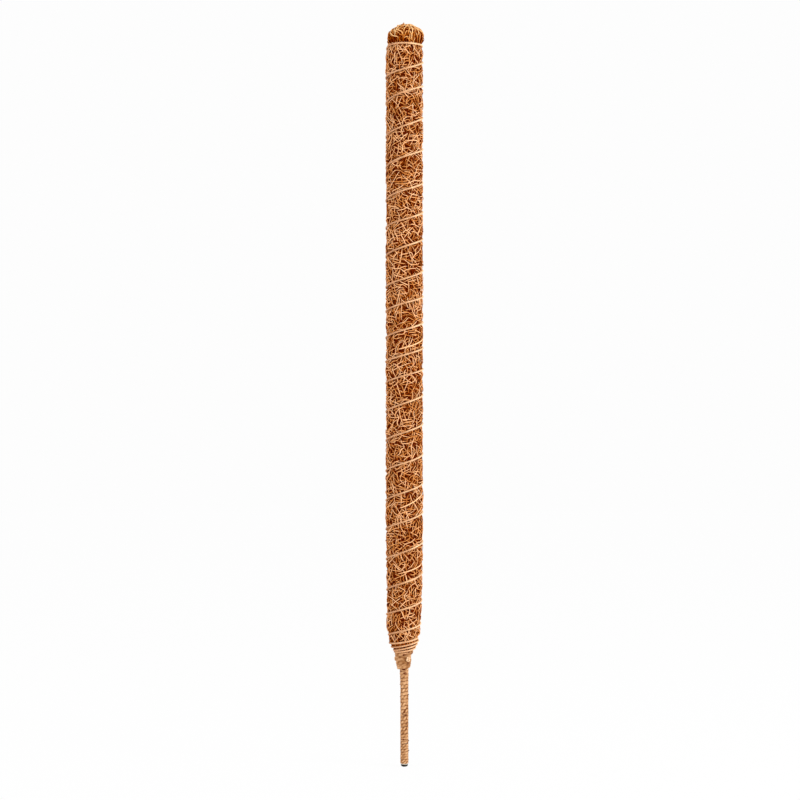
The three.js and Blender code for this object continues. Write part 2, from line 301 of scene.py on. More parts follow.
def coir_profile(height):
    """The radius of the gathered coir at each height, without its grooves."""
    neck_share = rise(height, NECK_FOOT, NECK_TOP - NECK_FOOT)
    neck = NECK_FOOT_RADIUS + (NECK_TOP_RADIUS - NECK_FOOT_RADIUS) * neck_share
    gather = (GATHER_RADIUS - NECK_TOP_RADIUS) * swell(height, NECK_TOP, GATHER_TOP - NECK_TOP)
    shoulder = (COIR_RADIUS - GATHER_RADIUS) * swell(height, GATHER_TOP, SHOULDER_TOP - GATHER_TOP)
    taper = BODY_TAPER * (1 - rise(height, SHOULDER_TOP, TAPER_REACH))
    taper = taper * rise(height, TAPER_START, TAPER_RISE)
    return neck + gather + shoulder - tie_waist(height) - taper


def groove(turn, height):
    """How deep the nearest turn of twine presses into the coir."""
    share = turn - np.floor(turn)
    nearest = np.round(np.interp(height, HEIGHT_TABLE, TURN_TABLE) - share) + share
    nearest = np.clip(nearest, *SPIRAL_ENDS)
    spacing = spiral_height(nearest + 0.5) - spiral_height(nearest - 0.5)
    depth = GROOVE_DEPTH * np.minimum(1, spacing / FULL_GROOVE_SPACING)
    return depth * hump(height, spiral_height(nearest), GROOVE_REACH)


def make_lumps(seed, count, size):
    """A gentle unevenness round and along the pole, the same on every run."""
    most_rounds = 5
    longest = 70
    shortest = 16
    rng = np.random.default_rng(seed)
    rounds = rng.integers(-most_rounds, most_rounds + 1, count)
    rises = rng.uniform(1 / longest, 1 / shortest, count)
    phases = rng.uniform(0, FULL_TURN, count)
    sizes = rng.normal(0, size * math.sqrt(2 / count), count)

    def lumps(turn, height):
        total = np.zeros(np.broadcast(turn, height).shape)
        for around, climb, phase, size_here in zip(rounds, rises, phases, sizes):
            total += size_here * np.sin(FULL_TURN * (around * turn + climb * height) + phase)
        return total

    return lumps


coir_lumps = make_lumps(seed=3, count=16, size=0.3)


def coir_surface(turn, height):
    """The radius of the coir under the loose strands."""
    return coir_profile(height) + coir_lumps(turn, height) - groove(turn, height)


# Meshes from arrays

# Cells of the texture map: length in widths, margins, and how many rings of a winding one holds
CELL_LENGTH = 8
CELL_END_MARGIN = 0.03
CELL_SIDE_MARGIN = 0.1
CELL_RINGS = 30

# How far apart two neighbouring tubes start in the streaks of their material
STREAK_STEP = 37.0


def new_piece(name, points, quads, triangles, material, corner_uv, values):
    """An object of quads and triangles over points in millimetres, with values kept at each point."""
    mesh = bpy.data.meshes.new(name)
    mesh.vertices.add(len(points))
    mesh.vertices.foreach_set("co", (points * MM).astype(np.float32).ravel())
    corners = np.concatenate([quads.ravel(), triangles.ravel()]).astype(np.int32)
    mesh.loops.add(len(corners))
    mesh.loops.foreach_set("vertex_index", corners)
    starts = np.concatenate([
        4 * np.arange(len(quads)),
        4 * len(quads) + 3 * np.arange(len(triangles)),
    ]).astype(np.int32)
    mesh.polygons.add(len(starts))
    mesh.polygons.foreach_set("loop_start", starts)
    mesh.update(calc_edges=True)
    mesh.shade_smooth()
    layer = mesh.uv_layers.new(name="OFBake")
    layer.data.foreach_set("uv", corner_uv.astype(np.float32).ravel())
    for key, numbers in values.items():
        attribute = mesh.attributes.new(key, "FLOAT", "POINT")
        attribute.data.foreach_set("value", numbers.astype(np.float32).ravel())
    mesh.materials.append(material)
    piece = bpy.data.objects.new(name, mesh)
    bpy.context.scene.collection.objects.link(piece)
    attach(piece, "root")
    return piece


def unit(vectors):
    return vectors / np.maximum(np.linalg.norm(vectors, axis=-1, keepdims=True), TINY)


def skin_piece(name, skin, tips, material, tone, along, around, cells=1):
    """Closed skins over rings of points.

    skin is (skins, rings, sides, 3), and tips hold the two points that close the ends of each skin.
    """
    skins, rings, sides, _ = skin.shape
    points = np.concatenate([skin.reshape(-1, 3), *tips])
    number = np.arange(skins * rings * sides).reshape(skins, rings, sides)
    after = np.roll(number, -1, axis=2)
    quads = np.stack([number[:, :-1], after[:, :-1], after[:, 1:], number[:, 1:]], axis=-1)
    tip_numbers = skins * rings * sides + np.arange(2 * skins).reshape(2, skins, 1)
    first_fan = np.stack(np.broadcast_arrays(tip_numbers[0], after[:, 0], number[:, 0]), axis=-1)
    last_fan = np.stack(np.broadcast_arrays(tip_numbers[1], number[:, -1], after[:, -1]), axis=-1)
    triangles = np.concatenate([first_fan.reshape(-1, 3), last_fan.reshape(-1, 3)])

    # Each stretch of skin has a cell of its own in the texture map, with its length along u.
    stretches = skins * cells
    columns = max(1, round(math.sqrt(stretches / CELL_LENGTH)))
    rows = math.ceil(stretches / columns)
    bands = rings - 1
    part = np.arange(bands) * cells // bands
    firsts = np.searchsorted(part, np.arange(cells))
    lengths = np.bincount(part, minlength=cells)
    within = np.arange(bands) - firsts[part]
    share = np.stack([within, within + 1], axis=-1) / lengths[part][:, None]
    stretch = np.arange(skins)[:, None] * cells + part[None]
    low_v = (stretch // columns) / rows
    share_u = CELL_END_MARGIN + (1 - 2 * CELL_END_MARGIN) * share
    cell_u = ((stretch % columns)[..., None] + share_u[None]) / columns
    edge_v = (CELL_SIDE_MARGIN + (1 - 2 * CELL_SIDE_MARGIN) * np.arange(sides + 1) / sides) / rows
    corner_u = cell_u[..., [0, 0, 1, 1]]
    corner_v = np.stack([edge_v[:-1], edge_v[1:], edge_v[1:], edge_v[:-1]], axis=-1)
    quad_uv = np.stack(np.broadcast_arrays(
        corner_u[:, :, None], low_v[:, :, None, None] + corner_v), axis=-1)
    middle_v = np.full(sides, 0.5 / rows)
    fan_uv = []
    for end, fan_v in (
        (0, np.stack([middle_v, edge_v[1:], edge_v[:-1]], axis=-1)),
        (-1, np.stack([middle_v, edge_v[:-1], edge_v[1:]], axis=-1)),
    ):
        fan_u = cell_u[:, end, end][:, None, None]
        fan_uv.append(np.stack(np.broadcast_arrays(fan_u, low_v[:, end][:, None, None] + fan_v), axis=-1))
    corner_uv = np.concatenate([uv.reshape(-1, 2) for uv in (quad_uv, *fan_uv)])

    def at_points(numbers):
        full = np.broadcast_to(numbers, (skins, rings, sides))
        return np.concatenate([full.ravel(), full[:, 0, 0], full[:, -1, 0]])

    values = {"tone": at_points(tone), "along": at_points(along), "around": at_points(around)}
    return new_piece(name, points, quads.reshape(-1, 4), triangles, material, corner_uv, values)


def tube_piece(name, centre, outward, half_width, half_thickness, section, tone, material, cells=1):
    """Closed tubes along rows of centre points, no two of them streaked alike.

    centre is (tubes, rings, 3), and section (sides, 2), or (rings, sides, 2) if it changes along the tube.
    """
    tubes, rings, _ = centre.shape
    section = np.broadcast_to(section, (rings, *np.shape(section)[-2:]))
    sides = section.shape[1]
    tangent = unit(np.gradient(centre, axis=1))
    outward = unit(outward - (outward * tangent).sum(-1, keepdims=True) * tangent)
    across = np.cross(outward, tangent)
    wide = (across * half_width[..., None])[:, :, None] * section[..., :1]
    thick = (outward * half_thickness[..., None])[:, :, None] * section[..., 1:]
    tips = (
        centre[:, 0] - tangent[:, 0] * half_thickness[:, :1],
        centre[:, -1] + tangent[:, -1] * half_thickness[:, -1:],
    )
    steps = np.linalg.norm(np.diff(centre, axis=1), axis=-1)
    along = np.concatenate([np.zeros((tubes, 1)), np.cumsum(steps, axis=1)], axis=1)
    along = along + STREAK_STEP * np.arange(tubes)[:, None]
    around = np.linspace(0, 1, sides)
    tone = np.clip(tone, 0, 1)
    skin = centre[:, :, None] + wide + thick
    return skin_piece(name, skin, tips, material, tone, along[..., None], around, cells)


def round_section(sides):
    angle = FULL_TURN * np.arange(sides) / sides
    return np.stack([np.cos(angle), np.sin(angle)], axis=-1)


# The head

def head_outline():
    """Reach along the head, radius and height, from the crown over the dome and down to the tie."""
    angle = np.linspace(0, math.pi / 2, 60)
    down = np.linspace(HEAD_SEAT - 0.5, TIE_HEIGHT - 2, 24)
    dome = HEAD_RADIUS * np.sin(angle) - HEAD_SLIMMING * np.sin(2 * angle) ** 2
    radius = np.append(dome, HEAD_RADIUS - tie_waist(down))
    height = np.append(HEAD_SEAT + (POLE_TOP - HEAD_SEAT) * np.cos(angle), down)
    reach = np.append(0, np.cumsum(np.hypot(np.diff(radius), np.diff(height))))
    return reach, radius, height


HEAD_REACH, HEAD_OUT, HEAD_UP = head_outline()
HEAD_FALL = -np.gradient(HEAD_UP, HEAD_REACH)
HEAD_SPREAD = np.gradient(HEAD_OUT, HEAD_REACH)


def head_bulge(angle, height):
    """The tuft that hangs out over the tie on the right."""
    return hump(angle, 0, HEAD_BULGE_ANGLE) * hump(height, HEAD_BULGE_HEIGHT, HEAD_BULGE_REACH)


def on_head(x, y, lift):
    """Points on the head from a flat map of it, whose middle is the crown, and their outward directions."""
    reach = np.hypot(x, y)
    angle = np.arctan2(y, x)
    fall = np.interp(reach, HEAD_REACH, HEAD_FALL)
    spread = np.interp(reach, HEAD_REACH, HEAD_SPREAD)
    height = np.interp(reach, HEAD_REACH, HEAD_UP)
    lift = lift + HEAD_BULGE * head_bulge(angle, height)
    radius = np.interp(reach, HEAD_REACH, HEAD_OUT) + fall * lift
    shift = HEAD_SHIFT * rise(height, TIE_HEIGHT, HEAD_SHIFT_RISE)
    centre = np.stack([
        radius * np.cos(angle) + shift,
        radius * np.sin(angle),
        height + spread * lift,
    ], axis=-1)
    outward = np.stack([fall * np.cos(angle), fall * np.sin(angle), spread], axis=-1)
    return centre, outward


# The coir: a packed core under layers of tangled strands, toned dark as painted shade of the depths

NECK_CORE_DEPTH = 1
COLUMN_CORE_DEPTH = 2.8
CORE_DEEPENS_OVER = 40
HEAD_CORE_DEPTH = 2.1
CORE_GROOVE_SHARE = 0.55
CORE_STREAKS = 3
# A dark tone: painted shade on the core, deep between the strands, and the own colour of the small dark
# bits
DEPTH_SHADE_AND_DARK_BIT_TONE = 0.08


def coir_core():
    """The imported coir, with a bore for the stake at its foot and a dome at its top."""
    columns = 72
    finer_round = 3
    finer_up = 2.5
    foot = NECK_FOOT + 0.5
    bore_top = NECK_FOOT + 8.0
    bore_radius = STAKE_RADIUS + 0.35
    least_radius = STAKE_RADIUS + 0.6
    turns = np.arange(columns) / columns
    heights = np.concatenate([
        np.linspace(foot, SHOULDER_TOP, 60),
        np.linspace(SHOULDER_TOP + 2, TIE_HEIGHT - 1, 330),
    ])[:, None]
    deepening = (COLUMN_CORE_DEPTH - NECK_CORE_DEPTH) * swell(heights, NECK_TOP, CORE_DEEPENS_OVER)
    rough = make_lumps(seed=8, count=24, size=0.35)
    surface = coir_surface(turns, heights) + (1 - CORE_GROOVE_SHARE) * groove(turns, heights)
    radius = surface - NECK_CORE_DEPTH - deepening + rough(finer_round * turns, finer_up * heights)
    column = on_pole(np.maximum(radius, least_radius), turns, heights)
    reach = np.linspace(HEAD_REACH[-1] - 3, 1.5, 24)[:, None]
    angles = FULL_TURN * turns - math.pi / 2
    dome, _ = on_head(reach * np.cos(angles), reach * np.sin(angles), -HEAD_CORE_DEPTH)
    bore = on_pole(bore_radius, turns, np.array([[bore_top], [foot]]))
    skin = np.concatenate([bore, column, dome])[None]
    tips = (np.array([[0, 0, bore_top]]), np.array([[HEAD_SHIFT, 0, POLE_TOP - HEAD_CORE_DEPTH]]))
    along = skin[..., 2]
    around = CORE_STREAKS * skin[..., 0]
    # Painted shade: the core is toned dark to stand for the shade deep between the strands.
    piece = skin_piece("coir_core", skin, tips, coir_finish, DEPTH_SHADE_AND_DARK_BIT_TONE, along, around)
    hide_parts("coir_inner_mat", "coir_outer_mat", "coir_head")


STRAND_RINGS = 12
STRAND_SECTION = round_section(6)
HAIR_SECTION = round_section(4)
STRAND_FLATNESS = 0.75
STRAND_SIDE = 0.9
# Painted shade on the sides of each strand, and painted light on its outer face
STRAND_SIDE_SHADE = 0.42
STRAND_PAINTED_OUTER_LIGHT = 0.12
STRAND_TONE_NOISE = 0.05
SWAY_ANGLE = 8

# What happens at the two ends of a strand: it thins, darkens and dips into the coir
END_SHARPNESS = 6
END_THINNING = 0.75
END_SHADE = 0.12
END_DIP = 1.6

# How a strand weaves in and out: waves along it, and how deep they are
WEAVE_WAVES = (0.6, 1.4)
WEAVE_DEPTHS = (0.3, 0.6)


def each(numbers):
    """Numbers as a column, with a row for each."""
    return np.asarray(numbers)[:, None]


def flat_paths(rng, heading, lengths, curl, sway):
    """Curving paths on a flat sheet from the origin, with a heading, a steady curl and a swaying bend."""
    count = len(heading)
    length = each(rng.uniform(*lengths, count))
    bend = each(rng.normal(0, curl, count))
    wave = each(rng.normal(0, sway, count))
    phase = each(rng.uniform(0, FULL_TURN, count))
    share = np.linspace(0, 1, STRAND_RINGS)[None]
    angle = heading + bend * (share - 0.5) * length + wave * np.sin(SWAY_ANGLE * share + phase)
    middle = (angle[:, 1:] + angle[:, :-1]) / 2
    step = length / (STRAND_RINGS - 1)
    start = np.zeros((count, 1))
    sideways = np.concatenate([start, np.cumsum(np.cos(middle) * step, axis=1)], axis=1)
    upward = np.concatenate([start, np.cumsum(np.sin(middle) * step, axis=1)], axis=1)
    return sideways, upward


# Steps that spread a sequence evenly over a square: one over the plastic ratio, and the square of that
SCATTER_ACROSS = 0.7548776662466927
SCATTER_UP = 0.5698402909980532


def even_scatter(rng, count):
    """Places spread evenly over a unit square, in no visible order."""
    number = np.arange(count) + rng.integers(1000)
    across = (number * SCATTER_ACROSS + rng.uniform(0, 1)) % 1
    up = (number * SCATTER_UP + rng.uniform(0, 1)) % 1
    order = rng.permutation(count)
    return each(across[order]), each(up[order])


def strand_body(rng, count, widths, tones):
    """What strands have wherever they lie: half width, tone and the way they weave in and out."""
    share = np.linspace(0, 1, STRAND_RINGS)[None]
    ends = np.abs(2 * share - 1) ** END_SHARPNESS
    half_width = each(rng.uniform(*widths, count)) / 2 * (1 - END_THINNING * ends)
    tone = each(rng.normal(*tones, count))
    tone = tone + rng.normal(0, STRAND_TONE_NOISE, (count, STRAND_RINGS)) - END_SHADE * ends
    waves = each(rng.uniform(*WEAVE_WAVES, count)) * share + each(rng.uniform(0, 1, count))
    weave = each(rng.uniform(*WEAVE_DEPTHS, count)) * np.sin(FULL_TURN * waves) - END_DIP * ends
    return half_width, tone, weave


# Strands are laid where they crowd each other least, by a sheet of square cells wrapped round the column.
CROWD_COLUMNS = 100
CROWD_CELL = FULL_TURN * COIR_RADIUS / CROWD_COLUMNS
CROWD_KINDS = 3
COVER_WEIGHT = 0.6
TRIES = 24


def new_crowd():
    """A count of the strands of each kind that cross each cell of a sheet as tall as the pole."""
    return np.zeros((CROWD_KINDS, math.ceil(POLE_TOP / CROWD_CELL), CROWD_COLUMNS))


def least_crowded(across, up, heading, crowd):
    """Numbers of the strands to keep: of each strand's tries, the one with least of its own kind near.

    across and up are (strands times tries, rings), in millimetres from a corner of the sheet. Strands that
    head the same way are one kind, so they lie apart from each other and cross those of other kinds. Places
    that no strand covers yet are taken first.
    """
    column = np.floor(across / CROWD_CELL).astype(int).reshape(-1, TRIES, STRAND_RINGS) % CROWD_COLUMNS
    row = np.floor(up / CROWD_CELL).astype(int).reshape(column.shape)
    kind = np.floor(heading * CROWD_KINDS / math.pi).astype(int).reshape(-1, TRIES, 1) % CROWD_KINDS
    kept = []
    for number in range(len(row)):
        alike = crowd[kind[number], row[number], column[number]]
        covered = np.minimum(crowd[:, row[number], column[number]].sum(axis=0), 1)
        best = (alike + COVER_WEIGHT * covered).sum(axis=-1).argmin()
        kept.append(number * TRIES + best)
        for up_step in (-1, 0, 1):
            for side_step in (-1, 0, 1):
                place = row[number, best] + up_step, (column[number, best] + side_step) % CROWD_COLUMNS
                weight = 1 / (1 + up_step * up_step + side_step * side_step)
                np.add.at(crowd[kind[number, best, 0]], place, weight)
    return kept


COLUMN_FOOT = NECK_TOP + 8
UPRIGHT_BELOW = GATHER_TOP + 6
UPRIGHT_ABOVE = TIE_HEIGHT - 5
UPRIGHT_SPREAD = 0.35
STRAND_LOWEST = NECK_FOOT + 3
STRAND_HIGHEST = TIE_HEIGHT + 1.5
STRAND_LEAST_RADIUS = STAKE_RADIUS + 1
STRAND_MOST_LIFT = 0.2
GATHER_SHADE = 0.45
GATHER_SHADE_FOOT = GATHER_TOP - 9
GATHER_SHADE_RISE = 8


def column_layer(seed, count, depth, widths, tones, lengths, curl, crowd, sway=0.35):
    """Strands laid evenly over the column. Near its two ends they run up and down, drawn in by the ties."""
    rng = np.random.default_rng(seed)
    start_turn, start_share = even_scatter(rng, count * TRIES)
    start_height = COLUMN_FOOT + (TIE_HEIGHT - COLUMN_FOOT) * start_share
    upright = math.pi / 2 + rng.normal(0, UPRIGHT_SPREAD, start_turn.shape)
    heading = rng.uniform(0, math.pi, start_turn.shape)
    near_end = (start_height < UPRIGHT_BELOW) | (start_height > UPRIGHT_ABOVE)
    heading = np.where(near_end, upright, heading)
    sideways, upward = flat_paths(rng, heading, lengths, curl, sway)
    sideways = sideways - sideways.mean(axis=1, keepdims=True)
    upward = upward - upward.mean(axis=1, keepdims=True)
    height = np.clip(start_height + upward, STRAND_LOWEST, STRAND_HIGHEST)
    turn = start_turn + sideways / (FULL_TURN * coir_profile(start_height))
    kept = least_crowded(turn * FULL_TURN * COIR_RADIUS, height - NECK_FOOT, heading, crowd)
    turn = turn[kept]
    height = height[kept]
    half_width, tone, weave = strand_body(rng, count, widths, tones)
    tone = tone - GATHER_SHADE * (1 - rise(height, GATHER_SHADE_FOOT, GATHER_SHADE_RISE))
    lift = np.minimum(each(rng.uniform(*depth, count)) + weave, STRAND_MOST_LIFT)
    overhang = GATHER_OVERHANG * hump(height, GATHER_OVERHANG_HEIGHT, GATHER_OVERHANG_REACH)
    radius = np.maximum(coir_surface(turn, height) + lift + overhang, STRAND_LEAST_RADIUS)
    return {
        "centre": on_pole(radius, turn, height),
        "outward": away_from_axis(turn),
        "half_width": half_width,
        "tone": tone,
    }


HEAD_LEAN = 0.55
HEAD_LEAN_SPREAD = 0.4
HEAD_CURL = 0.02
HEAD_SWAY = 0.35
TIE_SHADE = 0.45
TIE_SHADE_HEIGHT = TIE_HEIGHT + 2
TIE_SHADE_REACH = 9
BULGE_SHADE = 0.2
CROWN_PAINTED_LIGHT = 0.25
CROWN_FOOT = 982
CROWN_RISE = 15


def head_layer(seed, count, depth, widths, tones, lengths, crowd):
    """Strands drawn up from the tie over the head, leaning to one side, evenly spread over it."""
    rng = np.random.default_rng(seed)
    angle, share = even_scatter(rng, count * TRIES)
    angle = FULL_TURN * angle
    room = np.cumsum(HEAD_OUT * np.gradient(HEAD_REACH))
    reach = np.interp(share, room / room[-1], HEAD_REACH)
    heading = angle + math.pi + HEAD_LEAN + rng.normal(0, HEAD_LEAN_SPREAD, angle.shape)
    x, y = flat_paths(rng, heading, lengths, HEAD_CURL, HEAD_SWAY)
    x = x - x.mean(axis=1, keepdims=True) + reach * np.cos(angle)
    y = y - y.mean(axis=1, keepdims=True) + reach * np.sin(angle)
    rim = HEAD_REACH[-1] - 0.5
    inside = np.minimum(1, rim / np.maximum(np.hypot(x, y), TINY))
    kept = least_crowded(x * inside + rim, y * inside + rim, heading, crowd)
    x = (x * inside)[kept]
    y = (y * inside)[kept]
    half_width, tone, weave = strand_body(rng, count, widths, tones)
    centre, outward = on_head(x, y, each(rng.uniform(*depth, count)) + weave)
    height = centre[..., 2]
    shaded = TIE_SHADE * hump(height, TIE_SHADE_HEIGHT, TIE_SHADE_REACH)
    shaded = shaded + BULGE_SHADE * head_bulge(np.arctan2(y, x), height)
    # Painted light: the strands grow paler towards the crown, where the light falls on the top of the head.
    painted_light = CROWN_PAINTED_LIGHT * swell(height, CROWN_FOOT, CROWN_RISE)
    return {
        "centre": centre,
        "outward": outward,
        "half_width": half_width,
        "tone": tone - shaded + painted_light,
    }


# The first turn and height and the last turn and height of each pale strand across the front
LAID_STRANDS = [
    (-0.06, 561, 0.25, 578),
    (-0.045, 349, 0.2, 369),
    (-0.03, 262.5, 0.2, 274.5),
]
LAID_HALF_WIDTH = 0.95
LAID_LIFT = 0.6
LAID_END_DIP = 2
LAID_END_SHARPNESS = 8
LAID_THINNING = 0.5
LAID_BOW = 1.3


def laid_strands():
    """The pale strands that lie across the front, seen more than the rest."""
    first_turn, first_height, last_turn, last_height = np.array(LAID_STRANDS).T[:, :, None]
    share = np.linspace(0, 1, STRAND_RINGS)
    turn = first_turn + (last_turn - first_turn) * share
    height = first_height + (last_height - first_height) * share ** LAID_BOW
    lift = LAID_LIFT - LAID_END_DIP * (2 * share - 1) ** LAID_END_SHARPNESS
    thinning = LAID_THINNING * (2 * share - 1) ** END_SHARPNESS
    return {
        "centre": on_pole(coir_surface(turn, height) + lift, turn, height),
        "outward": away_from_axis(turn),
        "half_width": LAID_HALF_WIDTH * (1 - thinning) + 0 * turn,
        "tone": 1.0 + 0 * turn,
    }


def crown_hair():
    """One loose end that stands up from the front of the crown."""
    foot = np.array([-2.6, -9, POLE_TOP - 3.5])
    reach = np.array([1.8, 0, 3.4])
    share = np.linspace(0, 1, STRAND_RINGS)[None]
    centre = foot + reach * share[..., None]
    return {
        "centre": centre,
        "outward": np.broadcast_to([0.0, -1.0, 0.0], centre.shape),
        "half_width": 0.6 * (1 - 0.5 * share),
        "tone": 0.45 + 0 * share,
    }


def strand_pieces(name, node, layers, groups, finish, section=STRAND_SECTION):
    """One tangle as several pieces, each with strands from its whole length, with painted shade at their
    sides and painted light on their outer faces.
    """
    tangle = {key: np.concatenate([layer[key] for layer in layers]) for key in layers[0]}
    at_side = np.abs(section[:, 0]) > STRAND_SIDE
    shade = STRAND_PAINTED_OUTER_LIGHT * section[:, 1] - STRAND_SIDE_SHADE * at_side
    for group in range(groups):
        part = {key: numbers[group::groups] for key, numbers in tangle.items()}
        piece = tube_piece(
            f"{name}_{group + 1}",
            part["centre"],
            part["outward"],
            part["half_width"],
            part["half_width"] * STRAND_FLATNESS,
            section,
            part["tone"][..., None] + shade,
            finish,
        )
        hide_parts(node)


coir_core()
column_crowd = new_crowd()
head_crowd = new_crowd()

# A layer takes a seed, a count, ranges of depth and width, a tone and its spread, and a range of lengths.
# A layer of the column also takes a curl.
strand_pieces(
    "coir_strands",
    "coir_outer_mat",
    [
        # The deepest layer is toned dark: painted shade of the depths under the upper strands.
        column_layer(11, 1600, (-2.5, -1.5), (1.2, 1.8), (0.13, 0.05), (20, 45), 0.02, new_crowd()),
        column_layer(12, 2200, (-1.4, -0.7), (1.0, 1.6), (0.65, 0.08), (14, 30), 0.03, column_crowd, 0.25),
        column_layer(13, 1100, (-0.7, 0.0), (0.9, 1.5), (0.78, 0.1), (13, 32), 0.03, column_crowd, 0.25),
        column_layer(15, 440, (-0.1, 0.4), (0.75, 1.1), (0.98, 0.06), (14, 34), 0.03, column_crowd),
        laid_strands(),
    ],
    5,
    coir_finish,
)
strand_pieces(
    "coir_hairs",
    "coir_outer_mat",
    [column_layer(16, 2000, (-1.8, -0.6), (0.35, 0.6), (0.45, 0.12), (18, 44), 0.02, new_crowd())],
    2,
    coir_finish,
    HAIR_SECTION,
)
strand_pieces(
    "coir_head_strands",
    "coir_head",
    [
        # The deepest layer is toned dark: painted shade of the depths under the upper strands.
        head_layer(31, 120, (-2.7, -1.8), (1.2, 1.8), (0.12, 0.05), (18, 36), new_crowd()),
        head_layer(34, 115, (-2.0, -1.2), (1.1, 1.6), (0.58, 0.08), (16, 32), head_crowd),
        head_layer(35, 80, (-1.0, -0.4), (0.8, 1.5), (0.92, 0.12), (14, 34), head_crowd),
        crown_hair(),
    ],
    1,
    head_finish,
)


# The twine and the cord

YARN_SIDES = 12
YARN_PLIES = 3
YARN_SIDE_ANGLES = FULL_TURN * np.arange(YARN_SIDES) / YARN_SIDES
YARN_PLY_HUMPS = np.cos(YARN_PLIES * YARN_SIDE_ANGLES)
PLY_HEIGHT = 0.1
PLY_SHADE = 0.12
YARN_TONE_NOISE = 0.05
TWINE_TWIST_LENGTH = 9.0
KNOT_TWIST_LENGTH = 5.0


def yarn_section(twist):
    """A section of plies that turns along the yarn: twist is its angle at each ring."""
    radius = 1 - PLY_HEIGHT + PLY_HEIGHT * YARN_PLY_HUMPS
    angle = YARN_SIDE_ANGLES + each(twist)
    return np.stack([radius * np.cos(angle), radius * np.sin(angle)], axis=-1)


def path_length(centre):
    """The length of a path up to each of its points."""
    return np.append(0, np.cumsum(np.linalg.norm(np.diff(centre, axis=0), axis=-1)))


def slow_noise(seed, count, reach):
    """Smooth noise of unit spread along a path."""
    window = np.hanning(reach)
    noise = np.convolve(np.random.default_rng(seed).normal(0, 1, count + reach - 1), window, "valid")
    return noise / math.sqrt((window ** 2).sum())


def yarn_piece(name, node, centre, outward, radius, tone, seed, material, twist_length):
    """Twisted yarn along a path, uneven in tone."""
    rings = len(centre)
    half = np.broadcast_to(radius, (1, rings))
    section = yarn_section(FULL_TURN * path_length(centre) / twist_length)
    tone = tone + YARN_TONE_NOISE * slow_noise(seed, rings, 9)
    tones = (tone[:, None] + PLY_SHADE * YARN_PLY_HUMPS)[None]
    cells = max(1, rings // CELL_RINGS)
    piece = tube_piece(name, centre[None], outward[None], half, half, section, tones, material, cells)
    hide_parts(node)


def spiral_twine():
    """The open spiral, with its turns a little uneven, lying in its groove."""
    rings = 2600
    turn = np.linspace(*SPIRAL_ENDS, rings)
    wander = 0.35 * slow_noise(21, rings, 61)
    fullness = 1.22 + 0.05 * slow_noise(22, rings, 81)
    height = spiral_height(turn) + wander
    radius = coir_profile(height) - groove(turn, height) + TWINE_RADIUS
    # Painted light: the twine is toned paler on its right, the side the key lamp lights, and darker on its
    # left.
    painted_light = 0.8 + 0.2 * np.sin(FULL_TURN * turn)
    centre = on_pole(radius, turn, height)
    outward = away_from_axis(turn)
    yarn_piece("spiral_twine_yarn", "spiral_twine", centre, outward, TWINE_RADIUS * fullness,
               painted_light, 17, twine_finish, TWINE_TWIST_LENGTH)


GATHER_TURNS = 4.2
GATHER_FOOT = 153.6
GATHER_CLIMB = 22.0
GATHER_CLIMB_TURNS = 5
GATHER_CLOSENESS = 1.2
GATHER_TILT_SIDEWAYS = 3.0
GATHER_TILT_FORWARD = 1.2
GATHER_TILT_TURNS = 1.5
GATHER_LAY = 1.3


def gather_twine():
    """Turns that draw in the foot of the coir, closer together towards the neck and tilted above it."""
    rings = 460
    turn = np.linspace(0, GATHER_TURNS, rings)
    around = FULL_TURN * turn
    tilt = GATHER_TILT_SIDEWAYS * np.sin(around) - GATHER_TILT_FORWARD * np.cos(around)
    height = GATHER_FOOT + GATHER_CLIMB * (turn / GATHER_CLIMB_TURNS) ** GATHER_CLOSENESS
    wander = 0.3 * slow_noise(23, rings, 61)
    slack = 0.2 * slow_noise(24, rings, 61)
    fullness = 1.15 + 0.06 * slow_noise(25, rings, 81)
    height = height + tilt * rise(turn, 0, GATHER_TILT_TURNS) + wander
    radius = coir_profile(height) + GATHER_LAY + slack
    # Painted light: the gather twine is toned paler on its right, the side the key lamp lights, and darker
    # on its left.
    painted_light = 0.82 + 0.16 * np.sin(around)
    centre = on_pole(radius, turn, height)
    outward = away_from_axis(turn)
    yarn_piece("gather_twine_yarn", "gather_twine", centre, outward, TWINE_RADIUS * fullness,
               painted_light, 17, twine_finish, TWINE_TWIST_LENGTH)


def knot_piece(name, node, seat, turn, height, size, cord, tone, seed, material):
    """An overhand knot lying flat on what it ties, with two short ends."""
    rings = 150
    half_gap = 0.25
    half_depth = 0.55 * size
    t = np.linspace(half_gap, FULL_TURN - half_gap, rings)
    x = size * (2 + np.cos(3 * t)) * np.cos(2 * t) / 2
    y = size * (2 + np.cos(3 * t)) * np.sin(2 * t) / 2
    z = half_depth * np.sin(3 * t)
    front = away_from_axis(turn)
    up = np.array([0, 0, 1])
    side = np.cross(up, front)
    place = front * (seat + half_depth + cord / 2) + up * height
    centre = place + x[:, None] * side + y[:, None] * up + z[:, None] * front
    outward = np.broadcast_to(front, centre.shape)
    yarn_piece(name, node, centre, outward, cord / 2, tone, seed, material, KNOT_TWIST_LENGTH)


def flat_section():
    """A cord pressed flat on the stake: rounded over, with three yarns side by side, and flat below."""
    angle = np.linspace(0, math.pi, 13)
    over = np.stack([np.cos(angle), np.sin(angle) ** 0.8 * (1 - 0.1 * np.cos(6 * angle))], axis=-1)
    below = np.array([[-0.75, -0.85], [-0.25, -0.9], [0.25, -0.9], [0.75, -0.85]])
    return np.concatenate([over, below])


CORD_TWISTS_PER_TURN = 6.3
CORD_TWIST_SLANT = 2.4
CORD_PAINTED_OUTER_LIGHT = 0.1
CORD_EDGE = 0.8


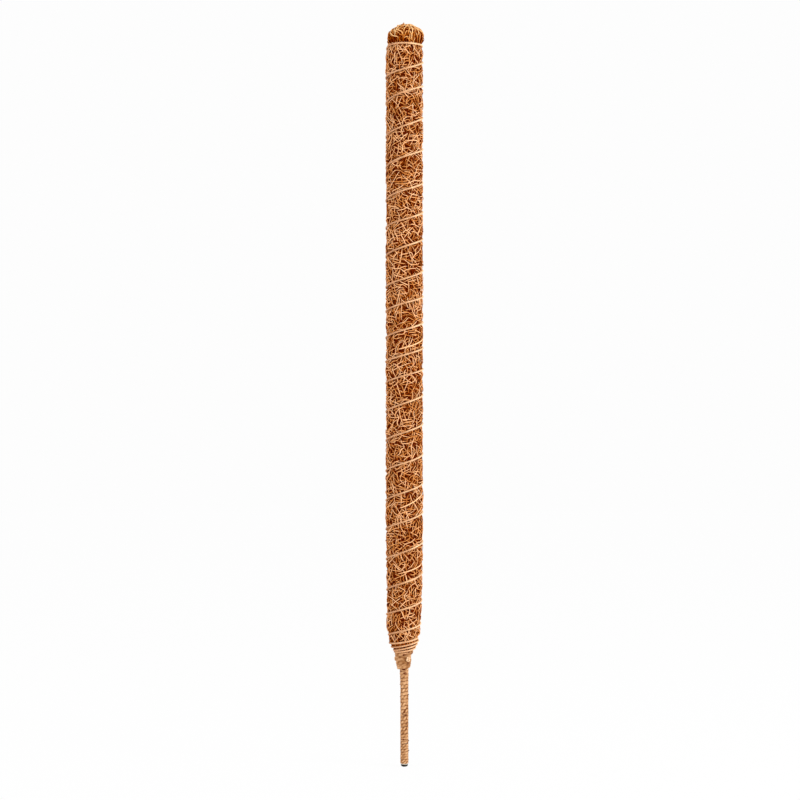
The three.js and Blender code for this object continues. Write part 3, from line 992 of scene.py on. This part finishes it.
def flat_cord(name, node, turn, radius, below, above, thickness, tone, twist, edge_shade):
    """A flat cord wound round the pole between two edges, which are given at each ring of it."""
    rings = len(turn)
    section = flat_section()
    at_edge = np.abs(section[:, 0]) > CORD_EDGE
    slant = FULL_TURN * CORD_TWISTS_PER_TURN * each(turn) - CORD_TWIST_SLANT * section[:, 0]
    # Painted shade darkens the cord's edges where the turns meet, and painted light brightens its outer
    # face; the slanted twist marks are the cord's own.
    shade = CORD_PAINTED_OUTER_LIGHT * section[:, 1] - edge_shade * at_edge + each(twist) * np.sin(slant)
    piece = tube_piece(
        name,
        on_pole(radius, turn, (below + above) / 2)[None],
        away_from_axis(turn)[None],
        (above - below)[None] / 2,
        np.broadcast_to(thickness / 2, (1, rings)),
        section,
        (each(tone) + shade)[None],
        cord_finish,
        max(1, rings // CELL_RINGS),
    )
    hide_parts(node)


WHIPPING_ENDS = (-0.4, 5.2)
WHIPPING_FOOT = 134.5
WHIPPING_PITCH = 3.6
WHIPPING_TILT = 0.6
WHIPPING_HALF_WIDTH = 2.4
WHIPPING_LAY = 0.9
WHIPPING_SWELL = 0.6
WHIPPING_SWELL_RISE = 6
WHIPPING_LEAN = 0.6


def neck_whipping():
    """Flattened turns that lap over each other round the neck, fuller on the left than on the right."""
    rings = 420
    turn = np.linspace(*WHIPPING_ENDS, rings)
    tilt = WHIPPING_TILT * np.sin(FULL_TURN * turn)
    wander = 0.3 * slow_noise(26, rings, 61)
    slack = 0.3 * slow_noise(27, rings, 41)
    middle = WHIPPING_FOOT + WHIPPING_PITCH * turn + tilt + wander
    lean = -WHIPPING_LEAN * np.cos(FULL_TURN * (turn - 0.25))
    stand_out = WHIPPING_LAY + WHIPPING_SWELL * swell(middle, NECK_FOOT, WHIPPING_SWELL_RISE)
    radius = coir_profile(middle) + lean + stand_out + slack
    half_width = WHIPPING_HALF_WIDTH + 0.12 * slow_noise(28, rings, 61)
    tone = 0.26 - 0.06 * np.sin(FULL_TURN * turn) + 0.12 * slow_noise(29, rings, 15)
    twist = np.full(rings, 0.05)
    flat_cord("neck_whipping_cord", "neck_whipping", turn, radius, middle - half_width,
              middle + half_width, 2 * WHIPPING_RADIUS, tone, twist, 0.08)


NECK_END_TURN = 0.74
NECK_END_TOP = 150.5
NECK_END_DROP = 7.5
NECK_END_LAY = 8.5
NECK_END_LOOP = 3.2
NECK_END_CURL = 0.72
NECK_END_DRIFT = 0.01
NECK_END_TILT = 0.3
NECK_END_RADIUS = 1.25
NECK_END_TONE = 0.55


def neck_end():
    """The whipping's end, which hangs out on the left."""
    rings = 24
    share = np.linspace(0, 1, rings)
    turn = NECK_END_TURN + NECK_END_DRIFT * share
    radius = NECK_END_LAY + NECK_END_LOOP * np.sin(math.pi * NECK_END_CURL * share)
    height = NECK_END_TOP - NECK_END_DROP * share
    centre = on_pole(radius, turn, height)
    outward = on_pole(1.0, turn, NECK_END_TILT * share)
    yarn_piece("neck_whipping_end", "neck_whipping", centre, outward, NECK_END_RADIUS,
               NECK_END_TONE, 17, cord_finish, TWINE_TWIST_LENGTH)


WRAP_RINGS_PER_TURN = 40
WRAP_COVER = 0.52
WRAP_LEAST_WIDTH = 0.3
WRAP_FLARE = 0.45
WRAP_FLARE_FOOT = 108
WRAP_FLARE_RISE = 20


def stake_wrap(name, node, lowest, highest, width, first_turn, seed):
    """A flat cord wound closely up the stake, thicker under the neck, with its ends cut to level edges."""
    pitch = width + WRAP_GAP
    turns = (highest - lowest + width) / pitch
    rings = round(WRAP_RINGS_PER_TURN * turns)
    turn = first_turn + np.linspace(0, turns, rings)
    wander = 0.15 * slow_noise(seed, rings, 31)
    fullness = 1 + 0.04 * slow_noise(seed + 1, rings, 31)
    slack = 0.07 * slow_noise(seed + 2, rings, 21)
    middle = lowest - width / 2 + pitch * (turn - first_turn) + wander
    half_width = WRAP_COVER * pitch * fullness
    below = np.clip(middle - half_width, lowest, highest - WRAP_LEAST_WIDTH)
    above = np.clip(middle + half_width, lowest + WRAP_LEAST_WIDTH, highest)
    flare = WRAP_FLARE * rise(middle, WRAP_FLARE_FOOT, WRAP_FLARE_RISE)
    radius = WRAP_LAY + slack + flare
    tone = 0.33 + 0.08 * slow_noise(seed + 3, rings, 11)
    twist = 0.15 * (1 + 0.5 * slow_noise(seed + 4, rings, 25))
    flat_cord(name, node, turn, radius, below, above, WRAP_THICKNESS, tone, twist, 0.5)


# The turn, height and size of each bit that shows in front
BITS_IN_FRONT = [
    (0.0, 151.7, 0.85), (0.09, 140.8, 0.75), (-0.01, 131.2, 1.1), (0.015, 126.4, 1.0),
    (0.2, 97, 0.6), (-0.055, 71.2, 0.55), (0.0, 70.1, 0.65), (0.06, 70.1, 0.65),
    (-0.04, 36.9, 0.7), (0.25, 34.8, 0.6), (0.25, 21.6, 0.6),
    (0.245, 846, 0.8), (0.245, 720, 0.9), (0.245, 675, 1.1),
]
BIT_LENGTH = 3.6
BIT_LAY_ON_COIR = -0.2
BIT_LAY_ON_NECK = 3.3
BIT_LAY_ON_WRAP = 0.9
BIT_TILT = 0.5
BACK_BIT_SIZE = 0.6
BACK_BIT_TURNS = (0.3, 0.7)
BACK_BIT_HEIGHTS = range(14, 126, 16)


def caught_bits():
    """Bits of dark fibre caught in the cord of the neck and the stake and at the edge of the coir."""
    rng = np.random.default_rng(61)
    places = list(BITS_IN_FRONT)
    for height in BACK_BIT_HEIGHTS:
        places.append((rng.uniform(*BACK_BIT_TURNS), height, BACK_BIT_SIZE))
    turn, height, size = np.array(places).T[:, :, None]
    on_neck = coir_profile(height) + BIT_LAY_ON_NECK
    on_cord = np.where(height > NECK_FOOT + 1, on_neck, WRAP_LAY + BIT_LAY_ON_WRAP)
    lay = np.where(height > SHOULDER_TOP, coir_profile(height) + BIT_LAY_ON_COIR, on_cord)
    share = np.linspace(-0.5, 0.5, 8)
    heading = rng.uniform(-BIT_TILT, BIT_TILT, turn.shape)
    along = BIT_LENGTH * size * np.cos(heading) * share
    up = BIT_LENGTH * size * np.sin(heading) * share
    centre = on_pole(lay, turn + along / (FULL_TURN * lay), height + up)
    outward = away_from_axis(turn + 0 * share)
    half_width = size * (1 - 2 * share ** 2)
    tone = np.full((*half_width.shape, 1), DEPTH_SHADE_AND_DARK_BIT_TONE)
    piece = tube_piece("caught_bits", centre, outward, half_width, half_width, STRAND_SECTION, tone,
                       coir_finish)


spiral_twine()
gather_twine()
neck_whipping()
neck_end()
# The neck knot is toned much paler than the whipping of the same cord: a painted highlight on the knot.
knot_piece("neck_knot_yarn", "neck_knot", seat=10.0, turn=0.075, height=145.5,
           size=1.75, cord=1.7, tone=0.9, seed=14, material=cord_finish)
knot_piece("top_knot_yarn", "top_knot", seat=25.4, turn=SPIRAL_ENDS[1], height=SPIRAL_END_HEIGHT,
           size=2.1, cord=1.7, tone=0.75, seed=13, material=twine_finish)
stake_wrap("stake_wrap_upper_cord", "stake_wrap_upper", WRAP_SPLIT, WRAP_TOP,
           width=4.1, first_turn=0.375, seed=41)
stake_wrap("stake_wrap_lower_cord", "stake_wrap_lower", WRAP_FOOT, WRAP_SPLIT,
           width=2.95, first_turn=0.5, seed=51)
caught_bits()


# The stake's end cap

CAP_FLAT_RADIUS = 1.2
CAP_EDGE_HEIGHT = 2.45

# How the head is rounded: 1 is a quarter of an ellipse, and 2 would be a straight bevel
CAP_BEVEL = 1.08

# The radius and height of the head's top edge, and then of the stem inside the tube
CAP_STEM = [(4.72, 2.6), (3.3, 2.62), (3.05, 2.7), (3, 3.2), (3, 10.6), (2.5, 11.3)]


def end_cap():
    """The moulding as a turned form: a head rounded from its flat foot to its edge, and a stem."""
    columns = 48
    angle = np.linspace(0, math.pi / 2, 8)
    head_radius = CAP_FOOT_RADIUS + (CAP_RADIUS - CAP_FOOT_RADIUS) * np.sin(angle) ** CAP_BEVEL
    head_height = CAP_EDGE_HEIGHT * (1 - np.cos(angle) ** CAP_BEVEL)
    outline = np.concatenate([
        [(CAP_FLAT_RADIUS, 0)],
        np.stack([head_radius, head_height], axis=-1),
        CAP_STEM,
    ])
    radius = outline[:, :1]
    height = outline[:, 1:]
    skin = on_pole(radius, np.arange(columns) / columns, height)[None]
    tips = (np.array([[0.0, 0.0, height[0, 0]]]), np.array([[0.0, 0.0, height[-1, 0]]]))
    piece = skin_piece("end_cap_moulding", skin, tips, plastic_finish, 0.5, skin[..., 2], 0.0)
    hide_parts("stake_end_cap")


end_cap()

for node, finish in (("stake_tube", steel_finish), ("stake_top_plug", plastic_finish)):
    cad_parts[node].data.materials.clear()
    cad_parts[node].data.materials.append(finish)


# Floor, world, lamps and camera, in metres

WHITE = (1, 1, 1, 1)
FLOOR_HALF_WIDTH = 6.0
FLOOR_GLOW = 0.987
FLOOR_GLOW_SHARE = 0.95
WORLD_STRENGTH = 0.983
LAMP_TARGET = (0, 0, 0.5)
CAMERA_PLACE = (-0.0059, -2.7, 0.4933)
CAMERA_LENS = 90.25
CAMERA_SENSOR = 36


def backdrop_rays(nodes):
    """1 for rays that should see the plain white surroundings: those of the camera, gloss and glass."""
    path = nodes.add("ShaderNodeLightPath").outputs
    seen = nodes.math("MAXIMUM", path["Is Camera Ray"], path["Is Glossy Ray"])
    return nodes.math("MAXIMUM", seen, path["Is Transmission Ray"])


def make_floor():
    """A white floor that shows only a trace of shadow."""
    material = bpy.data.materials.new("studio_floor")
    nodes = Nodes(material)
    lit = nodes.add("ShaderNodeBsdfDiffuse", {"Color": srgb(246, 246, 246)}).outputs[0]
    white = nodes.add("ShaderNodeEmission", {"Color": WHITE, "Strength": FLOOR_GLOW}).outputs[0]
    share = nodes.math("MULTIPLY", backdrop_rays(nodes), FLOOR_GLOW_SHARE)
    nodes.surface(nodes.add("ShaderNodeMixShader", {0: share, 1: lit, 2: white}).outputs[0])
    mesh = bpy.data.meshes.new("studio_floor")
    half = FLOOR_HALF_WIDTH
    corners = [(-half, -half, 0), (half, -half, 0), (half, half, 0), (-half, half, 0)]
    mesh.from_pydata(corners, [], [(0, 1, 2, 3)])
    mesh.materials.append(material)
    floor = bpy.data.objects.new("studio_floor", mesh)
    bpy.context.scene.collection.objects.link(floor)


def make_world():
    world = bpy.data.worlds.new("studio")
    bpy.context.scene.world = world
    nodes = Nodes(world)
    background = nodes.add("ShaderNodeBackground", {"Color": WHITE, "Strength": WORLD_STRENGTH})
    nodes.add("ShaderNodeOutputWorld", {"Surface": background.outputs[0]})


def add_lamp(name, place, power, size):
    """A square lamp that faces the middle of the pole."""
    light = bpy.data.lights.new(name, "AREA")
    light.energy = power
    light.size = size
    lamp = bpy.data.objects.new(name, light)
    lamp.location = place
    lamp.rotation_euler = (Vector(LAMP_TARGET) - Vector(place)).to_track_quat("-Z", "Y").to_euler()
    bpy.context.scene.collection.objects.link(lamp)


def add_camera():
    data = bpy.data.cameras.new("camera")
    data.lens = CAMERA_LENS
    data.sensor_width = CAMERA_SENSOR
    data.clip_end = 50
    camera = bpy.data.objects.new("camera", data)
    camera.location = CAMERA_PLACE
    camera.rotation_euler = (math.pi / 2, 0, 0)
    bpy.context.scene.collection.objects.link(camera)
    bpy.context.scene.camera = camera


make_floor()
make_world()
add_lamp("key_lamp", (2.6, -1.3, 1.3), power=58, size=1.2)
add_lamp("fill_lamp", (-2.5, -1.3, 1.0), power=24, size=1.5)
add_camera()
bpy.context.scene.view_settings.view_transform = "Standard"
